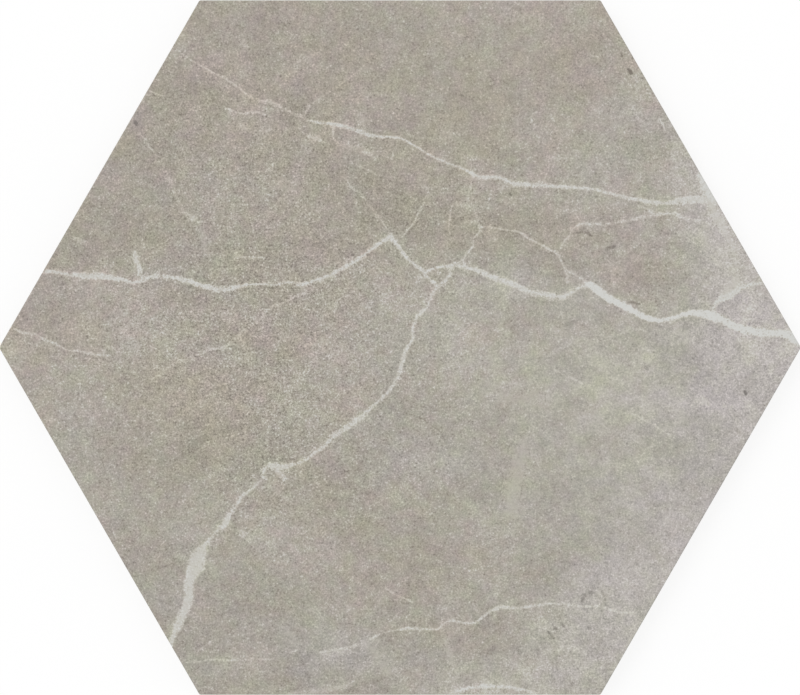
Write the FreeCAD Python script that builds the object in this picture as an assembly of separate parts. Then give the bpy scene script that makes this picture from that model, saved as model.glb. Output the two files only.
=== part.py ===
"""Hexagon floor tile of pressed porcelain, one solid, in millimetres.

The tile lies face up. Its origin is the middle of the bedding plane, +Z points out of the
decorated face, and X runs from one corner to the corner opposite, so two sides are parallel
to X. The face is flat and its rim is broken by a fine rounded arris. The walls stand upright
and draw in towards the foot, as the lower punch leaves them. The back is keyed for adhesive by
a honeycomb of shallow cells inside a plain rim, and the tile stands on that rim and the ribs.
"""
import FreeCAD, Part
import math
import os

# The outline and the slab
ACROSS_FLATS = 232.0      # from a side to the side opposite, at the upright wall
THICKNESS = 9.0           # from the bedding plane to the decorated face
CORNER_RADIUS = 0.8       # of the six corners between the walls
ARRIS_RADIUS = 0.5        # of the rounded edge round the decorated face

# The foot of the wall, where it draws in towards the back
FOOT_HEIGHT = 2.6
FOOT_INSET = 0.7

# The keyed back
RIM_WIDTH = 8.0           # least width of the plain rim, from the wall to the nearest cell
CELL_ACROSS_FLATS = 10.8  # of a cell's mouth, at the bedding plane
RIB_WIDTH = 2.2           # between the mouths of two cells
CELL_DEPTH = 0.7
CELL_DRAFT = 35.0         # degrees that a cell's walls lean from upright, so the punch releases

UP = FreeCAD.Vector(0, 0, 1)
NIL = 1e-6                                 # a difference in height that counts as none
SIDES = 6
SIDE_STEP = 2 * math.pi / SIDES
FLAT_TO_CORNER = math.cos(SIDE_STEP / 2)   # a hexagon's inner radius over its outer one
CORNER_EAST = 0.0                          # turn of a hexagon with corners on the X axis
CORNER_NORTH = SIDE_STEP / 2               # turn of a hexagon with corners on the Y axis


def hexagon_corners(across_flats, height, turn):
    """The six corners of a level hexagon round the Z axis, anticlockwise."""
    outer_radius = across_flats / 2 / FLAT_TO_CORNER
    return [
        FreeCAD.Vector(
            outer_radius * math.cos(turn + step * SIDE_STEP),
            outer_radius * math.sin(turn + step * SIDE_STEP),
            height,
        )
        for step in range(SIDES)
    ]


def flat_face(corners):
    """A flat face bounded by straight edges through the corners, in their order."""
    return Part.Face(Part.makePolygon(corners + corners[:1]))


def edge_ends(edge):
    """The heights of an edge's two ends."""
    return [vertex.Point.z for vertex in edge.Vertexes]


def level_edges(shape, height):
    """The straight edges of a shape that lie in the level plane at a height."""
    return [edge for edge in shape.Edges if all(abs(z - height) < NIL for z in edge_ends(edge))]


def rising_edges(shape):
    """The edges of a shape that climb, which are those between one side and the next."""
    return [edge for edge in shape.Edges if max(edge_ends(edge)) - min(edge_ends(edge)) > NIL]


def pressed_slab():
    """The slab with its drawn-in foot, the arris round its face and its rounded corners."""
    slab = flat_face(hexagon_corners(ACROSS_FLATS, 0, CORNER_EAST)).extrude(UP * THICKNESS)
    # The first distance runs up the wall and the second in across the back.
    slab = slab.makeChamfer(FOOT_HEIGHT, FOOT_INSET, level_edges(slab, 0))
    slab = slab.makeFillet(ARRIS_RADIUS, level_edges(slab, THICKNESS))
    # The corners come last, so that their round runs on down the foot and over the arris.
    return slab.makeFillet(CORNER_RADIUS, rising_edges(slab))


def cell_plug():
    """The punch's plug that presses one cell: a low hexagonal frustum that stands on z = 0."""
    top_across_flats = CELL_ACROSS_FLATS - 2 * CELL_DEPTH * math.tan(math.radians(CELL_DRAFT))
    mouth = hexagon_corners(CELL_ACROSS_FLATS, 0, CORNER_NORTH)
    top = hexagon_corners(top_across_flats, CELL_DEPTH, CORNER_NORTH)
    faces = [flat_face(mouth), flat_face(top)]
    for near in range(SIDES):
        far = (near + 1) % SIDES
        faces.append(flat_face([mouth[near], mouth[far], top[far], top[near]]))
    return Part.Solid(Part.Shell(faces))


def cell_centres():
    """Centres of the cells, in whole rings round the tile's middle out to the rim."""
    pitch = CELL_ACROSS_FLATS + RIB_WIDTH
    row_spacing = pitch * FLAT_TO_CORNER
    cell_reach = CELL_ACROSS_FLATS / 2 / FLAT_TO_CORNER
    rings = int((ACROSS_FLATS / 2 - RIM_WIDTH - cell_reach) / row_spacing)
    centres = []
    for row in range(-rings, rings + 1):
        cells_in_row = 2 * rings + 1 - abs(row)
        first_x = -pitch * (cells_in_row - 1) / 2
        for place in range(cells_in_row):
            centres.append(FreeCAD.Vector(first_x + place * pitch, row * row_spacing, 0))
    return centres


def keyed_back():
    """All the plugs of the punch, which leave the honeycomb of cells."""
    plug = cell_plug()
    return [plug.translated(centre) for centre in cell_centres()]


def main():
    tile = pressed_slab().cut(keyed_back())
    os.makedirs("parts", exist_ok=True)
    tile.exportStep("parts/tile.step")
    print(
        f"tile: {len(cell_centres())} cells, {len(tile.Faces)} faces, {len(tile.Solids)} solid, "
        f"valid {tile.isValid()}, {tile.Volume / 1000:.1f} cm3, box {tile.BoundBox}"
    )


main()
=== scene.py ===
"""Hexagon floor tile: a pressed porcelain slab, fired once, with a veined stone print under matt glaze.

The tile lies face up round the frame's Z axis. Its sizes and colours are properties in the
sidebar, one operator presses and prints the tile, and another lays out the stage.
"""
from collections import namedtuple
import math

import bpy
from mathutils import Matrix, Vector
from mathutils.geometry import delaunay_2d_cdt
import numpy as np


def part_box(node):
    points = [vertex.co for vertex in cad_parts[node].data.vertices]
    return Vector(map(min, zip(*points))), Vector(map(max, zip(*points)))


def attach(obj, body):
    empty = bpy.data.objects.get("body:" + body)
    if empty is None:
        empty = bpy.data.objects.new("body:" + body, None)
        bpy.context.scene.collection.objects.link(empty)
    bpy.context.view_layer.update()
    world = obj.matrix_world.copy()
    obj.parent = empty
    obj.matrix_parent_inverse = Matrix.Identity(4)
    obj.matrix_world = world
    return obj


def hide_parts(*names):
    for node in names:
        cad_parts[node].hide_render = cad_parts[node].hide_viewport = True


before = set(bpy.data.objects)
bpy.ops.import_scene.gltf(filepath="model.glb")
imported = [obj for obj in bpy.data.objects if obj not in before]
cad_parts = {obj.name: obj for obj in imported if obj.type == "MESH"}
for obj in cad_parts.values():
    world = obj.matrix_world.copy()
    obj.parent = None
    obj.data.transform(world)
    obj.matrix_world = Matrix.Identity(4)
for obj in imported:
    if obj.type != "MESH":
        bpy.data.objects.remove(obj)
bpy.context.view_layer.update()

bl_info = {
    "name": "Hexagon Floor Tile",
    "version": (1, 0, 0),
    "blender": (4, 5, 0),
    "location": "3D View > Sidebar > Tile",
    "description": "Presses a keyed hexagonal porcelain tile and prints its matt stone-look face",
    "category": "Add Mesh",
}

NODE = "tile"
BODY = "root"

MM = 0.001
FOOT_CORNER, FACE_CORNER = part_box(NODE)
ACROSS_FLATS = FACE_CORNER.y - FOOT_CORNER.y
THICKNESS = FACE_CORNER.z - FOOT_CORNER.z

SIDES = 6
SIDE_STEP = 2 * math.pi / SIDES
FLAT_TO_CORNER = math.cos(SIDE_STEP / 2)   # a hexagon's inner radius over its outer one
CORNER_EAST = 0.0                          # turn of a hexagon with corners on the X axis
CORNER_NORTH = SIDE_STEP / 2               # turn of a hexagon with corners on the Y axis

# The direction square out of each side, one to a row
SIDE_HEADINGS = np.arange(SIDES) * SIDE_STEP + SIDE_STEP / 2
OUTWARD = np.column_stack([np.cos(SIDE_HEADINGS), np.sin(SIDE_HEADINGS)])


def channels(code):
    """Red, green and blue of an sRGB hex code, in steps from 0 to 255."""
    return [int(code[place:place + 2], 16) for place in (1, 3, 5)]


def linear(code):
    """The linear red, green and blue of an sRGB hex code."""
    shares = [channel / 255 for channel in channels(code)]
    return tuple(
        share / 12.92 if share <= 0.04045 else ((share + 0.055) / 1.055) ** 2.4 for share in shares
    )


def level(code):
    """How light an sRGB hex code is to the eye, in steps from 0 to 255."""
    red, green, blue = channels(code)
    return 0.2126 * red + 0.7152 * green + 0.0722 * blue


# The print's inks, from the darkest fleck to the whitest vein. A tone is a level on this scale.
FLECK = "#7D746A"
STONE = "#A9A397"
MIST = "#BAB4A8"
VEIN = "#D6D6D2"
INK_SCALE = (FLECK, STONE, MIST, VEIN)
DARKEST = level(FLECK)
WHITEST = level(VEIN)

# Hues that the stone turns to in places. Rose and moss are 5 levels apart from it in green, and
# warm and ash are 10 levels apart from it in blue.
ROSE_HUE = "#A99E97"
MOSS_HUE = "#A9A897"
WARM_HUE = "#A9A38D"
ASH_HUE = "#A9A3A1"

# The stage's floor: its own white, its glow, and the share that the glow has in what the eye sees
LAMINATE = "#E6E6E6"
FLOOR_GLOW = 1.09
GLOW_SHARE = 0.75

# The lamp's direction from the tile, and how wide it looks from there
LAMP_FROM = (-0.5, 0.45, 0.85)
LAMP_WIDTH = math.radians(35)

# The fired clay, what colours it in places, and the powder of the kiln's rollers
PLAIN_CLAY = "#B5ADA0"
SMOKED_CLAY = "#AAA194"
PALE_GRANULE = "#C6BFB2"
IRON_SPECK = "#6E6458"
KILN_WASH = "#D6D2C8"

# Where the print's drawing lies: points were read in the photograph's pixels and become mm here
CHART_MIDDLE = (399.4, 347.4)
CHART_PX_PER_MM = (2.975, 2.9935)


def on_tile(x, y):
    """A point of the drawing, in mm from the tile's middle."""
    return (
        (x - CHART_MIDDLE[0]) / CHART_PX_PER_MM[0],
        (CHART_MIDDLE[1] - y) / CHART_PX_PER_MM[1],
    )


# A vein of the print. Its tone is a level of the ink scale, feather is how soft its edge is in mm,
# broken is how far it falls into dashes, and each point is (x, y, width) in the photograph's pixels.
Vein = namedtuple("Vein", "tone feather broken points")

MAIN_VEINS = {
    "upper lead": Vein(189, 0.65, 0.15, (
        (246, 94, 2.4), (254, 98, 3), (262, 101, 3.4), (275, 104, 3.4), (287, 110, 2.6), (301, 117, 2),
        (312, 121, 2),
    )),
    "upper run": Vein(202, 0.42, 0.05, (
        (312, 121, 2.5), (322, 123, 2.9), (332, 124, 3.5), (346, 127, 3.9), (360, 132, 4.5), (373, 136, 3.5),
        (385, 137, 3.1), (399, 138, 2.7), (413, 145, 2.3), (427, 154, 2.3), (444, 162, 2.3), (460, 168, 2.5),
        (472, 174, 2.9), (480, 177, 3.1), (489, 177, 3.9), (498, 177, 3.7), (506, 181, 4.3), (516, 184, 4.8),
        (535, 185, 4.5), (547, 186, 4.3), (564, 187, 3.9), (582, 188, 3.8), (595, 190, 3.3), (607, 193, 3.3),
        (623, 197, 3.3), (637, 200, 3.3), (650, 202, 4.3), (664, 203, 4.3), (676, 201, 6.3), (688, 200, 8.3),
        (702, 199, 8.3), (715, 199, 9.3),
    )),
    "left run": Vein(203, 0.55, 0.03, (
        (42, 271, 4), (53, 271, 4.4), (64, 273, 4), (74, 275, 4), (86, 276, 6), (98, 276, 7),
        (110, 277, 7), (120, 279, 5), (133, 282, 3.5), (143, 281, 3.5), (151, 277, 4), (164, 276, 4),
        (177, 278, 4.5), (189, 281, 5), (201, 285, 6), (213, 288, 6), (227, 289, 6), (241, 286, 4),
        (255, 284, 2.8), (265, 284, 2.6), (275, 285, 2.6), (289, 282, 3), (300, 285, 4), (310, 282, 4),
        (322, 278, 3.5), (334, 273, 3.5), (346, 266, 3.5), (358, 259, 3.5), (370, 250, 4),
        (382, 241, 4.5), (390, 236, 6),
    )),
    "left spur": Vein(198, 0.5, 0.0, (
        (136, 253, 4.8), (137, 259, 6.3), (139, 266, 6.3), (141, 272, 5.3), (143, 279, 3.8),
    )),
    "apex fall": Vein(203, 0.4, 0.0, (
        (390, 237, 5.1), (398, 247, 4.1), (406, 257, 4.1), (415, 265, 3.9), (423, 272, 4.1), (428, 279, 3.1),
        (435, 284, 2.9),
    )),
    "crossing": Vein(207, 0.4, 0.0, (
        (423, 272, 2.8), (434, 268, 2.3), (446, 266, 2.3), (453, 265, 2.6),
    )),
    "middle run": Vein(204, 0.7, 0.0, (
        (453, 264, 3), (466, 267, 4.4), (477, 271, 5), (487, 275, 5.6), (497, 279, 6.4), (509, 283, 6.4),
        (520, 288, 6.4), (530, 292, 6), (540, 294, 5.5), (551, 296, 5.5), (561, 297, 5.5), (568, 294, 4.5),
        (576, 289, 3), (585, 285, 3),
    )),
    "middle climb": Vein(191, 0.3, 0.08, (
        (456, 264, 2.5), (463, 258, 2), (467, 252, 2), (472, 246, 1.8), (472, 239, 1.8), (478, 232, 1.8),
        (478, 226, 2.2), (476, 220, 1.5),
    )),
    "middle arch": Vein(193, 0.4, 0.05, (
        (478, 226, 2), (494, 228, 1.8), (506, 230, 1.8), (518, 232, 1.8), (525, 237, 2.4), (540, 245, 2),
        (549, 250, 2), (557, 255, 3), (560, 262, 2.5), (565, 270, 2), (575, 275, 2), (583, 281, 2.5),
    )),
    "right strand": Vein(196, 0.5, 0.12, (
        (557, 252, 2), (562, 242, 2), (568, 235, 2), (570, 230, 2), (580, 224, 2.8), (592, 224, 2.4),
        (604, 224, 2), (616, 222, 2), (628, 220, 2), (640, 217, 3), (654, 215, 2.5), (668, 213, 3),
        (680, 217, 2.5), (692, 220, 2.5), (709, 224, 2),
    )),
    "right run": Vein(215, 0.5, 0.0, (
        (586, 284, 6), (590, 286, 8), (597, 291, 8), (606, 298, 8), (618, 304, 7), (630, 310, 7),
        (640, 316, 6), (649, 319, 6), (659, 320, 4), (669, 318, 4), (680, 315, 5), (690, 313, 6),
        (702, 314, 8.5), (712, 317, 9.5), (721, 320, 8), (731, 326, 7), (743, 330, 8), (756, 332, 8),
        (769, 333, 7), (781, 334, 8), (790, 338, 8), (798, 344, 6),
    )),
    "right branch": Vein(204, 0.55, 0.0, (
        (710, 312, 3), (711, 305, 3.5), (717, 300, 6), (723, 296, 11), (730, 291, 10), (737, 287, 7),
        (745, 285, 4.5), (755, 283, 3), (764, 281, 2),
    )),
    "long fall": Vein(198, 0.42, 0.06, (
        (453, 266, 2.8), (447, 277, 2.8), (441, 284, 3.4), (433, 291, 3), (429, 300, 2.8), (425, 308, 3.2),
        (417, 316, 3.6), (414, 324, 2.8), (411, 331, 2.6), (412, 339, 3), (407, 347, 3.8), (403, 357, 4.6),
        (400, 368, 4.8), (398, 376, 4), (391, 387, 3.5), (382, 398, 3.5), (373, 405, 3.5), (365, 414, 4.5),
        (354, 422, 6), (344, 429, 6), (334, 435, 5), (324, 446, 3.8), (311, 456, 3.5), (302, 462, 2.5),
        (294, 464, 3),
    )),
    "low fall": Vein(199, 0.6, 0.1, (
        (294, 464, 3), (286, 467, 6), (280, 467, 8), (273, 466, 7), (268, 465, 4), (264, 471, 3),
        (262, 479, 2.2), (253, 488, 2), (246, 494, 2.5), (241, 498, 4), (236, 506, 4), (229, 516, 5.5),
        (226, 522, 9), (219, 529, 3), (213, 536, 2.4), (207, 543, 4), (203, 549, 9), (199, 556, 15),
        (197, 564, 17), (194, 572, 14), (190, 581, 10), (190, 591, 9.5), (189, 601, 9.5), (185, 612, 9),
        (179, 624, 8), (174, 636, 6), (171, 646, 6),
    )),
    "low spike": Vein(191, 0.8, 0.15, ((276, 467, 8), (281, 474, 6), (284, 480, 3))),
    "bottom run": Vein(199, 0.4, 0.12, (
        (320, 652, 2), (334, 650, 3), (346, 648, 2.6), (356, 645, 1.6), (367, 640, 1.1), (377, 635, 1.1),
        (389, 631, 1.1), (403, 629, 2), (411, 628, 2.6), (425, 629, 2.2), (437, 629, 1.8), (441, 625, 1.6),
        (447, 621, 1.8), (454, 621, 2.2), (471, 623, 2.5), (480, 618, 2.5), (489, 611, 3), (499, 607, 3.5),
        (509, 607, 3.5), (518, 608, 2.5), (535, 605, 2.2), (551, 603, 2.2), (563, 604, 2.5), (573, 605, 2.7),
        (585, 606, 2.5), (599, 607, 2), (609, 610, 1.6), (619, 612, 1.5), (634, 613, 1.2),
    )),
    "bottom arc": Vein(205, 0.55, 0.0, (
        (452, 692, 2.9), (468, 688, 3.4), (482, 686, 3.9), (496, 686, 3.9), (509, 687, 3.9), (523, 690, 3.4),
        (534, 694, 2.9),
    )),
}

# Pale smears, as if a vein had bled into the stone
SMEARS = {
    "low fall smear": Vein(185, 1.0, 0.2, ((241, 531, 5), (247, 537, 7), (252, 543, 4))),
    "low fall cloud": Vein(175, 1.6, 0.5, ((268, 476, 4), (277, 488, 8), (284, 498, 4))),
    "right corner head": Vein(210, 0.9, 0.05, ((697, 172, 4), (703, 186, 10), (709, 198, 13))),
    "right corner block": Vein(198, 0.7, 0.1, ((708, 203, 10), (711, 211, 12))),
    "right corner smear": Vein(197, 0.8, 0.15, ((712, 214, 10), (717, 222, 13), (722, 229, 9))),
    "right edge smear": Vein(194, 1.1, 0.3, ((722, 231, 6), (728, 244, 9), (732, 257, 7), (726, 270, 4))),
    "branch haze": Vein(193, 1.0, 0.3, ((730, 270, 4), (734, 279, 9), (728, 287, 12), (722, 292, 8))),
    "right run drip": Vein(188, 0.8, 0.2, ((721, 334, 4), (725, 345, 6), (728, 356, 4))),
    "right run pool": Vein(183, 1.1, 0.2, ((671, 322, 4), (676, 331, 8), (685, 338, 5))),
    "bottom run head": Vein(182, 0.9, 0.2, ((322, 654, 4), (334, 655, 6), (348, 651, 4))),
    "bottom smear": Vein(175, 2.2, 0.4, ((366, 642, 6), (374, 652, 11), (381, 663, 11), (392, 678, 7))),
    "bottom left cloud": Vein(173, 1.4, 0.5, ((283, 626, 8), (291, 636, 10), (296, 646, 6))),
    "bottom left spot": Vein(190, 0.5, 0.1, ((290, 653, 3), (296, 650, 3))),
    "bottom edge smear": Vein(181, 0.9, 0.2, ((290, 694, 6), (312, 692, 6), (334, 688, 7), (348, 684, 5))),
    "bottom middle cloud": Vein(177, 1.6, 0.5, ((443, 634, 6), (446, 648, 9), (452, 662, 6))),
    "arch drip": Vein(187, 0.6, 0.2, ((565, 273, 3), (566, 283, 3.5))),
    "centre patch": Vein(178, 0.6, 0.2, ((455, 203, 3), (463, 206, 4), (470, 203, 3))),
    "left dots end": Vein(186, 0.7, 0.3, ((186, 213, 3), (192, 217, 6), (200, 222, 4))),
    "left cloud": Vein(173, 1.5, 0.5, ((200, 228, 5), (206, 244, 9), (211, 256, 5))),
    "left edge smear": Vein(183, 0.7, 0.3, ((73, 237, 2), (81, 240, 5), (86, 243, 3))),
    "upper spot": Vein(187, 1.1, 0.4, ((240, 125, 5), (245, 127, 8), (250, 129, 4))),
    "upper cloud": Vein(174, 1.5, 0.5, ((280, 185, 6), (286, 187, 10), (291, 190, 6))),
    "upper run smear": Vein(192, 0.9, 0.3, ((309, 136, 4), (316, 139, 7), (322, 142, 3))),
    "upper run haze": Vein(182, 1.1, 0.4, ((338, 143, 3), (350, 146, 5), (362, 149, 5), (373, 153, 3))),
    "upper run crown": Vein(177, 1.1, 0.4, ((355, 112, 4), (360, 118, 6), (363, 124, 4))),
    "upper run foot": Vein(188, 0.6, 0.2, ((364, 152, 4), (370, 154, 3))),
    "centre streak": Vein(177, 2.6, 0.9, ((523, 440, 8), (518, 462, 14), (513, 488, 18), (510, 512, 18))),
    "centre sweep": Vein(176, 2.2, 0.9, ((500, 396, 8), (520, 400, 12), (536, 392, 8))),
}

# Fine threads, most of them broken in places
THREADS = {
    "upper left": Vein(191, 0.25, 0.3, (
        (177, 49, 1.6), (189, 58, 1.6), (209, 70, 1.7), (224, 78, 1.7), (238, 87, 1.7), (248, 95, 2),
    )),
    "upper left beside": Vein(192, 0.25, 0.2, (
        (226, 108, 2.3), (237, 112, 2.5), (244, 114, 2.5), (251, 112, 2.4), (258, 112, 2.7), (265, 115, 2.3),
    )),
    "upper left end": Vein(186, 0.25, 0.4, ((150, 91, 1.8), (158, 94, 1.8), (163, 96, 1.5))),
    "left dots": Vein(192, 0.25, 0.35, (
        (139, 132, 1.5), (146, 139, 1.5), (151, 147, 1.4), (157, 155, 1.3),
    )),
    "left dots below": Vein(179, 0.4, 0.5, (
        (164, 165, 1.6), (168, 173, 2.4), (172, 183, 2.6), (176, 194, 2), (181, 203, 1.8), (186, 213, 1.8),
    )),
    "upper sprig": Vein(182, 0.4, 0.28, (
        (304, 117, 1.6), (309, 107, 1.5), (317, 100, 1.4), (330, 92, 1.3), (341, 84, 1.5), (352, 76, 1.5),
        (363, 66, 1.2),
    )),
    "upper drop": Vein(192, 0.25, 0.2, ((333, 127, 1.5), (333, 139, 1.5))),
    "upper tick": Vein(191, 0.25, 0.2, ((393, 151, 2), (391, 159, 1.8))),
    "apex lead": Vein(181, 0.25, 0.4, (
        (345, 178, 1.4), (352, 188, 1.4), (360, 193, 1.2), (367, 203, 1.7), (378, 217, 1.7), (384, 225, 1.6),
        (390, 233, 2),
    )),
    "apex tick": Vein(187, 0.25, 0.3, ((338, 203, 1.4), (345, 210, 1.3))),
    "apex rise": Vein(190, 0.4, 0.25, (
        (423, 203, 1.8), (417, 215, 1.7), (412, 224, 1.7), (406, 231, 1.6), (402, 236, 1.4),
    )),
    "middle drop": Vein(192, 0.25, 0.25, ((451, 206, 2), (449, 217, 1.8), (448, 228, 1.6), (449, 234, 1.2))),
    "middle rise": Vein(177, 0.25, 0.4, (
        (477, 226, 1.8), (476, 219, 1.8), (474, 212, 1.6), (473, 206, 1.4),
    )),
    "middle link": Vein(177, 0.25, 0.3, ((459, 223, 1.4), (468, 222, 1.5), (476, 223, 1.4))),
    "strand tick": Vein(190, 0.25, 0.15, ((571, 209, 1.4), (574, 214, 1.4), (578, 220, 1.2))),
    "top squiggle": Vein(188, 0.25, 0.1, (
        (535, 112, 1.5), (531, 114, 1.7), (530, 120, 1.9), (534, 127, 1.7), (537, 126, 1.3),
    )),
    "top lean": Vein(187, 0.3, 0.3, (
        (560, 139, 1.4), (554, 151, 1.5), (549, 163, 1.4), (546, 172, 1.3), (542, 181, 1.1),
    )),
    "upper loose": Vein(182, 0.3, 0.3, (
        (504, 187, 1.8), (496, 189, 2), (490, 192, 2.2), (488, 200, 1.6),
    )),
    "upper link": Vein(186, 0.3, 0.25, ((471, 178, 2), (470, 186, 1.8), (468, 193, 1.8), (466, 201, 1.6))),
    "right tick": Vein(191, 0.3, 0.3, ((636, 206, 2), (645, 209, 2.2), (652, 212, 1.6))),
    "right streak": Vein(195, 0.4, 0.15, ((657, 118, 1.8), (660, 124, 2), (663, 130, 1.4))),
    "left low": Vein(194, 0.35, 0.08, (
        (13, 328, 2.8), (24, 332, 3), (36, 334, 2.8), (46, 339, 2.3), (58, 344, 2.2), (69, 350, 2),
        (81, 351, 2.1), (93, 354, 2.2), (111, 355, 2),
    )),
    "centre fall": Vein(185, 0.3, 0.06, (
        (309, 291, 2.4), (303, 294, 2.6), (295, 297, 2.2), (283, 303, 2.2), (270, 308, 2.5),
        (263, 317, 2.6), (254, 324, 2.6), (245, 330, 2.8), (239, 335, 2.8), (229, 344, 2.8), (221, 348, 3),
        (210, 350, 3), (198, 355, 2.6), (185, 360, 2.5), (174, 364, 2.3), (166, 370, 2), (155, 378, 1.6),
    )),
    "centre hook": Vein(190, 0.28, 0.3, (
        (349, 295, 1.7), (339, 299, 1.7), (335, 309, 1.7), (334, 318, 1.6),
    )),
    "centre dots": Vein(178, 0.25, 0.6, (
        (317, 349, 1.5), (313, 362, 1.5), (305, 371, 1.5), (294, 386, 1.5), (286, 397, 1.5),
        (275, 409, 1.5), (271, 421, 1.4), (268, 433, 1.5), (267, 450, 1.4),
    )),
    "left dash": Vein(191, 0.25, 0.2, ((234, 258, 1.7), (242, 257, 1.8), (252, 257, 1.6), (265, 258, 1.5))),
    "low sprig": Vein(187, 0.25, 0.3, (
        (384, 587, 1.5), (394, 594, 1.7), (401, 597, 1.7), (412, 602, 1.5),
    )),
    "right sprig": Vein(192, 0.3, 0.2, (
        (552, 369, 1.3), (564, 376, 1.5), (576, 381, 1.5), (585, 387, 1.2),
    )),
    "right low sprig": Vein(193, 0.35, 0.4, (
        (625, 411, 1.7), (635, 416, 1.9), (649, 423, 1.9), (659, 430, 1.7), (672, 437, 1.5),
    )),
    "left low tick": Vein(188, 0.3, 0.2, ((113, 524, 1.2), (117, 539, 1.1))),
    "bottom left tick": Vein(190, 0.3, 0.2, ((201, 649, 1.4), (208, 644, 1.6), (215, 639, 1.2))),
    "bottom left": Vein(185, 0.35, 0.4, (
        (184, 662, 1.6), (191, 662, 2.4), (200, 661, 1.8), (215, 659, 1.5), (232, 660, 1.4),
        (250, 660, 1.5), (262, 659, 2.2), (275, 659, 1.4),
    )),
    "smudge line": Vein(181, 0.4, 0.3, ((351, 163, 1.6), (363, 168, 1.6), (375, 174, 1.4))),
    "left corner rise": Vein(182, 0.35, 0.4, (
        (236, 252, 1.2), (233, 261, 1.4), (237, 268, 1.2),
    )),
}

# Dark cracks and grit of the stone, and two brown stains
DARK_MARKS = {
    "centre crack": Vein(142, 0.25, 0.25, (
        (382, 406, 1.1), (396, 410, 1.2), (408, 414, 1.2), (420, 418, 1.2), (430, 425, 1.2),
        (439, 432, 1.2), (446, 443, 1),
    )),
    "left crack": Vein(145, 0.25, 0.2, ((148, 574, 1), (158, 569, 1.2), (169, 565, 1.2), (181, 561, 1))),
    "low crack": Vein(154, 0.35, 0.4, ((600, 591, 1.4), (602, 597, 1.6), (604, 603, 1.2))),
    "upper left grit": Vein(112, 0.35, 0.0, ((136, 122, 3.6), (138, 124, 3.6))),
    "top right grit": Vein(128, 0.35, 0.0, ((619, 53, 2.2), (620, 56, 2.8))),
    "top right grit below": Vein(100, 0.45, 0.0, ((626, 69, 1.8), (629, 73, 4.2))),
    "right grit": Vein(112, 0.35, 0.0, ((742, 391, 3), (743, 394, 3))),
    "centre right grit": Vein(146, 0.35, 0.0, ((643, 367, 3.2), (645, 369, 2.6))),
    "vein grit": Vein(132, 0.35, 0.1, ((627, 302, 2.4), (637, 304, 2.2))),
    "low grit": Vein(138, 0.35, 0.0, ((580, 595, 2.4), (584, 596, 2.2))),
    "low grit below": Vein(144, 0.6, 0.2, ((582, 594, 2), (581, 598, 2.4), (580, 602, 2.2))),
    "low grit beside": Vein(138, 0.35, 0.0, ((588, 592, 2.8), (590, 593, 2.6))),
    "bottom grit": Vein(142, 0.45, 0.1, ((559, 622, 2), (562, 626, 3.4))),
    "bottom grit left": Vein(118, 0.35, 0.0, ((547, 632, 2.9), (548, 633, 2.9))),
    "bottom grit below": Vein(140, 0.35, 0.0, ((551, 637, 2.6), (552, 638, 2.4))),
    "bottom grit beside": Vein(126, 0.35, 0.0, ((553, 628, 2.4), (555, 629, 2))),
    "bottom grit right": Vein(142, 0.35, 0.0, ((586, 627, 2.8), (588, 628, 2.4))),
    "middle stain": Vein(153, 0.8, 0.5, ((565, 325, 3), (570, 323, 6), (577, 320, 3))),
    "left stain": Vein(148, 0.9, 0.2, (
        (183, 457, 3), (190, 450, 4), (197, 443, 8.5), (206, 437, 4.5), (216, 433, 2.5), (226, 431, 4),
        (237, 427, 5),
    )),
    "strand squiggle": Vein(132, 0.25, 0.15, (
        (574, 233, 1.6), (582, 232, 2), (587, 234, 2.8), (590, 236, 2.6),
    )),
    "strand grit": Vein(128, 0.35, 0.1, ((605, 249, 2.6), (610, 247, 3.6), (613, 246, 2.4))),
    "middle grit": Vein(106, 0.35, 0.0, ((508, 194, 2), (510, 195, 1.8))),
    "left grit": Vein(126, 0.35, 0.0, ((88, 336, 2.2), (89, 337, 2.2))),
}
VEINS = {**SMEARS, **THREADS, **MAIN_VEINS, **DARK_MARKS}

# A soft patch of the stone: its middle and its reach across and down in the photograph's pixels, and
# its amount, in levels of lightness for a tone, and a share of the whole for hue, grain and clouds.
Patch = namedtuple("Patch", "x y across down amount")

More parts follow.
